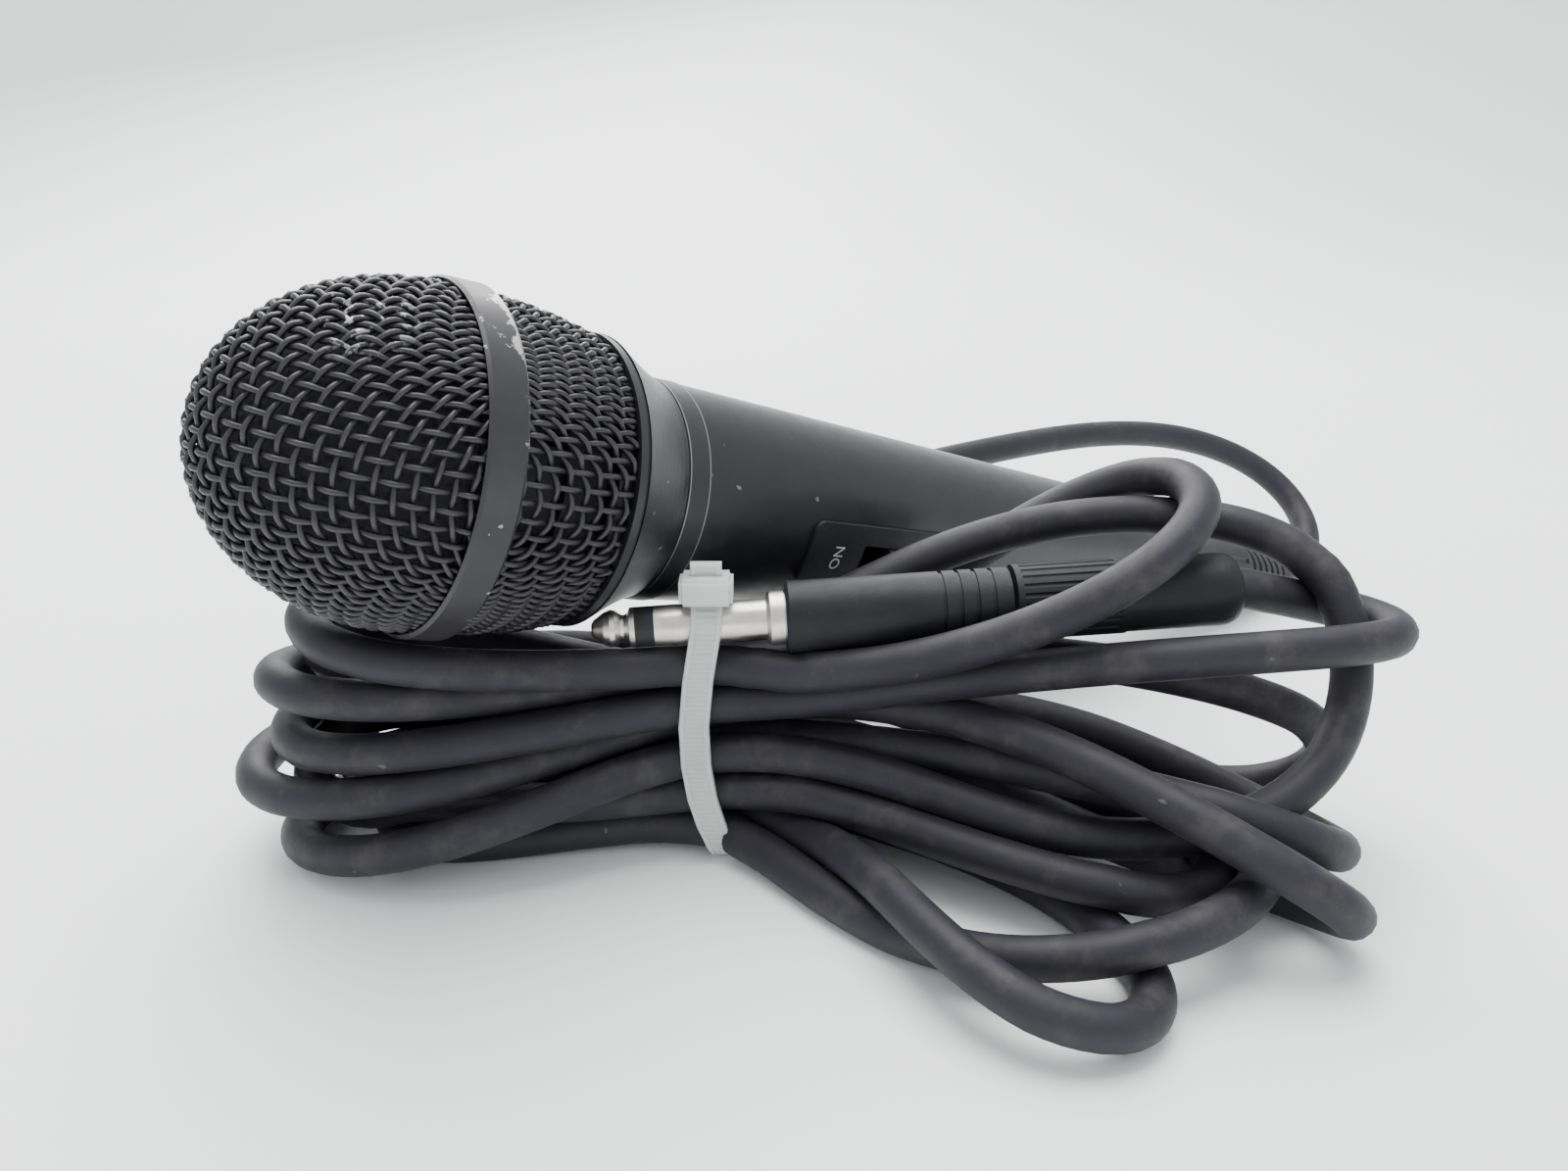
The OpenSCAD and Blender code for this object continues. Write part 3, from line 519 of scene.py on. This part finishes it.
def weave_paint():
    """Black coat on the wires, rubbed to bare metal in one small place on the upper front."""
    paint = Paint("weave", rough=0.42)
    tone = paint.ramp(paint.noise(300, 4), (0.3, (0.009, 0.008, 0.011)), (0.8, (0.021, 0.019, 0.024)))
    near = paint.near(mic_point(-18, 24, RUB_ANGLE), 9)
    fleck = paint.ramp(paint.noise(520, 3), (0.57, (0, 0, 0)), (0.6, (1, 1, 1)))
    rubbed = paint.math("MULTIPLY", near, fleck)
    paint.into("Base Color", paint.mix(rubbed, tone, (0.5, 0.5, 0.5)))
    paint.into("Metallic", rubbed)
    paint.into("Roughness", paint.spread(paint.noise(700, 3), 0.34, 0.5))
    paint.bump(paint.noise(1800, 2), 0.03)
    return paint.mat


def cable_rubber():
    """Matt black jacket with a blue cast, pale rubbed dust, lint and fine scratches."""
    paint = Paint("cable_rubber", rough=0.55, Specular_IOR_Level=0.35)
    base = paint.ramp(paint.noise(45, 6), (0.3, (0.0105, 0.0095, 0.0145)), (0.75, (0.019, 0.0175, 0.025)))
    haze = paint.ramp(paint.noise(95, 8, 0.7), (0.52, (0, 0, 0)), (0.85, (0.4, 0.4, 0.4)))
    tone = paint.mix(haze, base, (0.12, 0.115, 0.1))
    lint = speckles(paint, 1500, 0.1, 75)
    tone = paint.mix(lint, tone, (0.14, 0.135, 0.12))
    scratch = paint.noise(260, 3, 0.5, ((0.7, 0.3, 0.5), (1, 0.1, 1)))
    scratch = paint.ramp(scratch, (0.74, (0, 0, 0)), (0.76, (0.5, 0.5, 0.5)))
    tone = paint.mix(scratch, tone, (0.12, 0.12, 0.12))
    paint.into("Base Color", tone)
    paint.into("Roughness", paint.spread(paint.noise(160, 6), 0.46, 0.72))
    height = paint.math("ADD", paint.noise(900, 5), paint.math("MULTIPLY", paint.noise(120, 3), 0.6))
    paint.bump(height, 0.05)
    return paint.mat


def rubber(name, dark, light, rough=0.6, grain=900, depth=0.04):
    paint = Paint(name, rough=rough, Specular_IOR_Level=0.22)
    tone = paint.ramp(paint.noise(140, 5), (0.3, dark), (0.8, light))
    tone = paint.mix(speckles(paint, 1500, 0.1, 80), tone, (0.16, 0.155, 0.145))
    paint.into("Base Color", tone)
    paint.into("Roughness", paint.spread(paint.noise(300, 4), rough - 0.1, rough + 0.1))
    paint.bump(paint.noise(grain, 4), depth)
    return paint.mat


def bare_metal(name, dark, light, rough, scratch_scale=500):
    """Plated metal with fine scratches, dull spots and a little grime."""
    paint = Paint(name, rough=rough, metal=1.0)
    tone = paint.ramp(paint.noise(170, 5, 0.6), (0.35, dark), (0.62, light))
    lines = paint.noise(scratch_scale, 3, 0.6, ((0, 0, HANK_TURN), (0.1, 1, 1)))
    grime = paint.ramp(paint.noise(240, 7, 0.7), (0.6, (0, 0, 0)), (0.72, (0.6, 0.6, 0.6)))
    paint.into("Base Color", paint.mix(grime, tone, (0.09, 0.075, 0.06)))
    paint.into("Roughness", paint.spread(lines, rough - 0.08, rough + 0.25))
    paint.bump(lines, 0.012)
    return paint.mat


def nylon():
    paint = Paint("nylon", rough=0.34, Subsurface_Weight=0.6, Subsurface_Scale=0.003,
                  Transmission_Weight=0.12, IOR=1.5)
    paint.set("Subsurface Radius", (0.9, 1.0, 1.0))
    tone = paint.ramp(paint.noise(90, 4), (0.3, (0.5, 0.54, 0.52)), (0.8, (0.62, 0.66, 0.62)))
    paint.into("Base Color", tone)
    paint.into("Roughness", paint.spread(paint.noise(400, 3), 0.28, 0.42))
    paint.bump(paint.noise(500, 3), 0.02)
    return paint.mat


def foam():
    paint = Paint("foam", rough=0.95)
    pores = paint.cells(900)
    paint.into("Base Color", paint.ramp(pores, (0.1, (0.004, 0.004, 0.004)), (0.6, (0.02, 0.02, 0.021))))
    paint.bump(pores, 0.3)
    return paint.mat


def film():
    paint = Paint("film", rough=0.2, Transmission_Weight=0.5)
    paint.into("Base Color", paint.ramp(paint.noise(90), (0.3, (0.7, 0.68, 0.55)), (0.8, (0.8, 0.78, 0.66))))
    paint.bump(paint.noise(300), 0.02)
    return paint.mat


BLACK = (0.012, 0.012, 0.014)
DARK = (0.022, 0.022, 0.025)
COATS = {
    "weave": weave_paint(),
    "band": painted_metal("band", (0.013, 0.012, 0.015), (0.022, 0.021, 0.025), 0.4, 0.4, band_chips),
    "collar": painted_metal("collar", (0.01, 0.01, 0.012), (0.017, 0.017, 0.02), 0.4, 0.4),
    "handle": painted_metal("handle", (0.007, 0.007, 0.01), (0.012, 0.012, 0.016), 0.32, 0.4, handle_wear),
    "label": painted_metal("label", (0.009, 0.009, 0.011), (0.016, 0.016, 0.019), 0.4, 0.4, label_lines),
    "plate": rubber("plate", (0.014, 0.014, 0.016), (0.022, 0.022, 0.025), 0.5, 1500, 0.05),
    "cable": cable_rubber(),
    "black_plastic": rubber("black_plastic", BLACK, DARK, 0.42, 1200, 0.03),
    "barrel": rubber("barrel", (0.008, 0.008, 0.01), (0.015, 0.015, 0.018), 0.5, 1100, 0.05),
    "rubber": rubber("rubber", (0.014, 0.014, 0.016), (0.03, 0.03, 0.032), 0.68),
    "nickel": bare_metal("nickel", (0.5, 0.47, 0.42), (0.72, 0.7, 0.66), 0.26),
    "steel": bare_metal("steel", (0.45, 0.45, 0.46), (0.66, 0.66, 0.68), 0.34),
    "copper": bare_metal("copper", (0.55, 0.25, 0.12), (0.75, 0.4, 0.2), 0.3),
    "gold": bare_metal("gold", (0.6, 0.45, 0.2), (0.8, 0.62, 0.3), 0.28),
    "ferrite": bare_metal("ferrite", (0.12, 0.12, 0.13), (0.2, 0.2, 0.21), 0.5),
    "nylon": nylon(),
    "foam": foam(),
    "film": film(),
    "felt": rubber("felt", (0.3, 0.27, 0.2), (0.45, 0.4, 0.32), 0.9, 600, 0.3),
    "board": rubber("board", (0.25, 0.15, 0.05), (0.35, 0.22, 0.09), 0.5, 700, 0.05),
    "red_wire": rubber("red_wire", (0.35, 0.02, 0.02), (0.5, 0.05, 0.04), 0.4),
    "ink": rubber("ink", (0.55, 0.55, 0.55), (0.7, 0.7, 0.7), 0.5),
}
NODE_COATS = {
    "band": ["grille_band"],
    "collar": ["grille_collar", "connector_shell"],
    "handle": ["handle_shell"],
    "label": ["label_band"],
    "plate": ["switch_plate"],
    "foam": ["foam_liner"],
    "rubber": ["gasket_ring", "shock_mount", "connector_boot"],
    "black_plastic": ["capsule_cap", "capsule_housing", "switch_slider", "xlr_insert",
                      "connector_insert", "cable_chuck", "clamp_nut", "jack_insulator"],
    "barrel": ["jack_barrel", "jack_grip", "jack_boot"],
    "nickel": ["jack_tip", "jack_sleeve", "xlr_pins", "latch_button"],
    "steel": ["top_plate", "pole_piece", "yoke", "switch_body", "switch_screws", "insert_screw",
              "jack_body", "jack_clamp"],
    "ferrite": ["magnet"],
    "copper": ["voice_coil"],
    "gold": ["connector_sockets"],
    "film": ["diaphragm", "surround"],
    "felt": ["damping_felt"],
    "board": ["terminal_board"],
    "red_wire": ["capsule_leads", "switch_leads"],
}


def coat(piece, name):
    piece.data.materials.clear()
    piece.data.materials.append(COATS[name])


for name, nodes in NODE_COATS.items():
    for node in nodes:
        cad = frame["nodes"][node]
        for slot in cad.material_slots:
            slot.link = "OBJECT"
            slot.material = COATS[name]
coat(cord, "cable")


# ------------------------------------------------------------------ woven grille
PITCH_W = 2.55
WIRE_R = 0.44
REACH = 27
WEAVE_MID = 25.4
DOME_LONG = 30.6
REAR_LONG = 43.8
REAR_POLE = 1.8


def dome_place(spot, long):
    """Nearest point on the half ellipsoid, in its own frame: across, across, towards the pole."""
    scale = np.array([WEAVE_MID, WEAVE_MID, long])
    spot = spot.copy()
    for _ in range(6):
        value = ((spot / scale) ** 2).sum() - 1
        slope = 2 * spot / scale ** 2
        spot -= slope * value / (slope @ slope)
    return spot


def dome_normal(spot, long):
    slope = spot / np.array([WEAVE_MID, WEAVE_MID, long]) ** 2
    return slope / np.linalg.norm(slope)


def net(long, reach):
    """Crossings of a flat square mesh that is pressed over the dome without stretching."""
    spots = {}
    pole = np.array([0.0, 0.0, long])

    def step_along(start, way):
        spot = start + way * PITCH_W
        for _ in range(8):
            spot = dome_place(spot, long)
            away = spot - start
            spot = start + away * PITCH_W / np.linalg.norm(away)
        return dome_place(spot, long)

    for sx in (1, -1):
        spots[(0, 0)] = pole
        for way, key in (((1.0, 0.0, 0.0), 0), ((0.0, 1.0, 0.0), 1)):
            now, heading = pole, np.array(way) * sx
            for k in range(1, reach):
                new = step_along(now, heading)
                heading = new - now
                heading /= np.linalg.norm(heading)
                now = new
                spots[(k * sx, 0) if key == 0 else (0, k * sx)] = now
    for sx in (1, -1):
        for sy in (1, -1):
            for total in range(2, 2 * reach):
                for i in range(1, total):
                    j = total - i
                    a = spots.get(((i - 1) * sx, j * sy))
                    b = spots.get((i * sx, (j - 1) * sy))
                    c = spots.get(((i - 1) * sx, (j - 1) * sy))
                    if a is None or b is None or c is None or i >= reach or j >= reach:
                        continue
                    if min(a[2], b[2]) < -6:
                        continue
                    half = np.linalg.norm(b - a) / 2
                    if half > PITCH_W * 0.985:
                        continue
                    spot = a + b - c
                    for _ in range(12):
                        spot = dome_place(spot, long)
                        for end in (a, b):
                            away = spot - end
                            spot = end + away * PITCH_W / np.linalg.norm(away)
                    spots[(i * sx, j * sy)] = dome_place(spot, long)
    return spots


def woven_half(name, long, pole_s, way, edge_s, open_s):
    """Wires of one half; way is -1 for the front dome and 1 for the rear cup."""
    spots = net(long, REACH)
    frame_of = {key: (p, dome_normal(p, long)) for key, p in spots.items()}

    def place(spot):
        return RING + TAIL * (pole_s + way * spot[2]) + spot[0] * SIDE + spot[1] * DOWN

    lines = []
    for family in (0, 1):
        for fixed in range(-REACH, REACH):
            run = []
            for k in range(-REACH, REACH + 1):
                key = (k, fixed) if family == 0 else (fixed, k)
                if key in spots:
                    run.append(key)
                    continue
                if len(run) > 1:
                    lines.append((family, run))
                run = []
            if len(run) > 1:
                lines.append((family, run))
    wires = []
    for family, run in lines:
        base = [spots[key] for key in run]
        line = []
        for n in range(len(run) - 1):
            (p, u), (q, v) = frame_of[run[n]], frame_of[run[n + 1]]
            before = base[max(n - 1, 0)]
            after = base[min(n + 2, len(run) - 1)]
            sign = 1 if (sum(run[n]) + family) % 2 else -1
            for k in range(4):
                t = k / 4
                spot = 0.5 * (2 * p + (q - before) * t + (2 * before - 5 * p + 4 * q - after) * t * t
                              + (3 * p - before - 3 * q + after) * t ** 3)
                lift = sign * math.cos(math.pi * t) * WIRE_R * 0.96
                line.append(spot + (u * (1 - t) + v * t) * lift)
        part = []
        for spot in line:
            s = pole_s + way * spot[2]
            if (s < edge_s if way < 0 else edge_s < s < open_s):
                part.append(place(spot))
                continue
            if len(part) > 2:
                wires.append(part)
            part = []
        if len(part) > 2:
            wires.append(part)
    piece = tube_mesh(name, wires, WIRE_R)
    coat(piece, "weave")
    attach(piece, "grille")
    return piece


front = woven_half("woven_front", DOME_LONG, -3.0, -1, -1.9, 0)
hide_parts("grille_front")
rear = woven_half("woven_rear", REAR_LONG, REAR_POLE, 1, 1.9, 22.4)
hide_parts("grille_rear")


# ------------------------------------------------------------------ the tie
STRAP_W = 4.8
STRAP_T = 1.2
# Sideways lean of the strap at a few heights
STRAP_LEAN = [(0, 3.4), (3, 1.9), (7, 0.2), (12, -1.2), (18, -2.1), (25, -2.3), (33, -1.5), (42, 0)]
SLEEVE_R = 3.175


def tied_section():
    """Round sections at the tie, as middle and radius: away, up."""
    along = (cable - RING) @ ALONG - TIE_U
    rounds = []
    for k in np.nonzero(np.sign(along[1:]) != np.sign(along[:-1]))[0]:
        t = along[k] / (along[k] - along[k + 1])
        spot = cable[k] * (1 - t) + cable[k + 1] * t
        away = (spot - RING) @ AWAY
        if -6 < away < 26 and spot[2] < TIE_TOP + 3:
            rounds.append((away, spot[2], CORD_R + 0.1))
    w = (TIE_U - JACK_TIP[0]) / JACK_DIR[0]
    sleeve = JACK_TIP + JACK_DIR * w
    rounds.append((sleeve[1], sleeve[2], SLEEVE_R + 0.1))
    return rounds


def hull_line(points):
    """Outline of the smallest bulging shape round the points, anticlockwise."""
    points = sorted(map(tuple, points))

    def half(row):
        line = []
        for p in row:
            while len(line) > 1 and ((line[-1][0] - line[-2][0]) * (p[1] - line[-2][1])
                                     <= (line[-1][1] - line[-2][1]) * (p[0] - line[-2][0])):
                line.pop()
            line.append(p)
        return line[:-1]

    return np.array(half(points) + half(points[::-1]))


def even_loop(loop, step):
    closed = np.vstack([loop, loop[:1]])
    along = np.concatenate([[0], np.cumsum(np.linalg.norm(np.diff(closed, axis=0), axis=1))])
    count = 2 * int(along[-1] / step / 2)
    places = np.linspace(0, along[-1], count, endpoint=False)
    return np.stack([np.interp(places, along, closed[:, k]) for k in range(2)], axis=1)


def ring_section(base, faces, count, size, closed):
    for i in range(count if closed else count - 1):
        j = (i + 1) % count
        for k in range(size):
            m = (k + 1) % size
            faces.append((base + i * size + k, base + i * size + m,
                          base + j * size + m, base + j * size + k))


def strap_profile(rib):
    """Half section across the strap: a shallow ribbed channel between two smooth edges."""
    half, thick = STRAP_W / 2, STRAP_T
    return [(-half, 0), (-half, thick - 0.2), (-half + 0.2, thick), (-1.65, thick),
            (-1.55, thick - rib), (1.55, thick - rib), (1.65, thick), (half - 0.2, thick),
            (half, thick - 0.2), (half, 0)]


def make_tie():
    turns = np.linspace(0, 2 * math.pi, 32, endpoint=False)
    points = [(v + r * math.cos(a), z + r * math.sin(a)) for v, z, r in tied_section() for a in turns]
    loop = even_loop(hull_line(points), 0.4)
    ways = np.roll(loop, -1, axis=0) - np.roll(loop, 1, axis=0)
    ways = (ways + np.roll(ways, 1, axis=0) + np.roll(ways, -1, axis=0))
    ways /= np.linalg.norm(ways, axis=1)[:, None]
    out = np.stack([ways[:, 1], -ways[:, 0]], axis=1)
    verts, faces = [], []
    for k, (spot, way) in enumerate(zip(loop, out)):
        lean = np.interp(spot[1], *zip(*STRAP_LEAN))
        for across, lift in strap_profile(0.22 if k % 2 else 0.06):
            verts.append(hank_point((TIE_U + lean + across, *(spot + way * lift))))
    ring_section(0, faces, len(loop), 10, True)
    top = loop[loop[:, 1].argmax()]
    front = top[0] - 2.2
    base_z = JACK_TIP[2] + 4.9
    parts = [((TIE_U - 4.1, front - 2.4, base_z), (TIE_U + 4.1, front + 3.2, base_z + 4.4), 0.6),
             ((TIE_U - 2.9, front + 3.2, base_z + 0.6), (TIE_U + 2.9, front + 4.3, base_z + 3.6), 0.3)]
    stub = len(verts)
    for k in range(8):
        for across, lift in strap_profile(0.22 if k % 2 else 0.06):
            verts.append(hank_point((TIE_U + across, front - 0.2 + 1.2 - lift, base_z + 3.6 + k * 0.4)))
    ring_section(stub, faces, 8, 10, False)
    faces.append(tuple(stub + k for k in range(10)))
    faces.append(tuple(stub + 70 + k for k in reversed(range(10))))
    data = bpy.data.meshes.new("cable_tie_strap")
    data.from_pydata([tuple(v * MM) for v in verts], [], faces)
    build = bmesh.new()
    build.from_mesh(data)
    for low, high, round_r in parts:
        block = bmesh.ops.create_cube(build, size=1)["verts"]
        low, high = np.array(low), np.array(high)
        for vert in block:
            place = (low + high) / 2 + np.array(vert.co) * (high - low)
            vert.co = hank_point(place) * MM
        edges = {e for v in block for e in v.link_edges}
        bmesh.ops.bevel(build, geom=list(edges), offset=round_r * MM, segments=3, affect="EDGES")
    bmesh.ops.recalc_face_normals(build, faces=build.faces)
    build.to_mesh(data)
    build.free()
    piece = add("cable_tie_strap", data)
    coat(piece, "nylon")
    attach(piece, "handle")
    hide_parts("cable_tie")
    return piece


tie = make_tie()


# ------------------------------------------------------------------ switch lettering
NECK_S, NECK_R = 38.6, 18.3
TAPER = (NECK_R - 13.2) / (155 - NECK_S)
PLATE_PROUD = 0.7
SWITCH_ANGLE = -76
LETTERS_S = 67.4


def make_letters():
    """The switch's state, in raised ink on the curved plate."""
    words = bpy.data.curves.new("switch_letters", "FONT")
    words.body = "ON"
    words.size = 2.9
    words.extrude = 0.03
    words.align_x = "CENTER"
    words.align_y = "CENTER"
    words.resolution_u = 6
    holder = add("switch_letters_text", words)
    bpy.context.view_layer.update()
    data = bpy.data.meshes.new_from_object(holder)
    bpy.data.objects.remove(holder)
    for vert in data.vertices:
        s = LETTERS_S - vert.co.y
        out = NECK_R - (s - NECK_S) * TAPER + PLATE_PROUD + 0.01 + vert.co.z
        vert.co = mic_point(s, out, SWITCH_ANGLE - math.degrees(vert.co.x / out)) * MM
    piece = add("switch_letters", data)
    coat(piece, "ink")
    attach(piece, "handle")


make_letters()

# ------------------------------------------------------------------ stage
def make_stage():
    """A floor that curves up into a plain backdrop."""
    rows = [(-4.0, 0.0), (0.7, 0.0)]
    rows += [(0.7 + 0.9 * math.sin(a), 0.9 - 0.9 * math.cos(a)) for a in np.linspace(0.1, math.pi / 2, 16)]
    rows += [(1.6, 4.0)]
    verts = [tuple((x * ALONG + far * AWAY + z * UP)) for far, z in rows for x in (-5, 5)]
    faces = [(2 * k, 2 * k + 1, 2 * k + 3, 2 * k + 2) for k in range(len(rows) - 1)]
    data = bpy.data.meshes.new("backdrop")
    data.from_pydata(verts, [], faces)
    data.polygons.foreach_set("use_smooth", [True] * len(faces))
    piece = add("backdrop", data)
    paper = Paint("paper", rough=0.85)
    tone = paper.ramp(paper.noise(3, 4), (0.3, (0.89, 0.9, 0.895)), (0.7, (0.92, 0.925, 0.92)))
    paper.into("Base Color", tone)
    paper.bump(paper.noise(400, 4), 0.03)
    data.materials.append(paper.mat)


def soft_light(name, place, size, power, aim=(0.0, 0.0, 0.04)):
    data = bpy.data.lights.new(name, "AREA")
    data.energy = power
    data.size = size
    lamp = add(name, data)
    lamp.location = place
    way = mathutils.Vector(aim) - lamp.location
    lamp.rotation_euler = way.to_track_quat("-Z", "Y").to_euler()


make_stage()
soft_light("top_light", (0.05, 0.15, 1.1), 0.9, 21)
soft_light("back_light", (0.3, 0.9, 0.7), 0.8, 16)
world = bpy.data.worlds.new("world")
bpy.context.scene.world = world
world.use_nodes = True
world.node_tree.nodes["Background"].inputs[0].default_value = (0.93, 0.96, 0.98, 1)
world.node_tree.nodes["Background"].inputs[1].default_value = 1.35
bpy.context.view_layer.update()
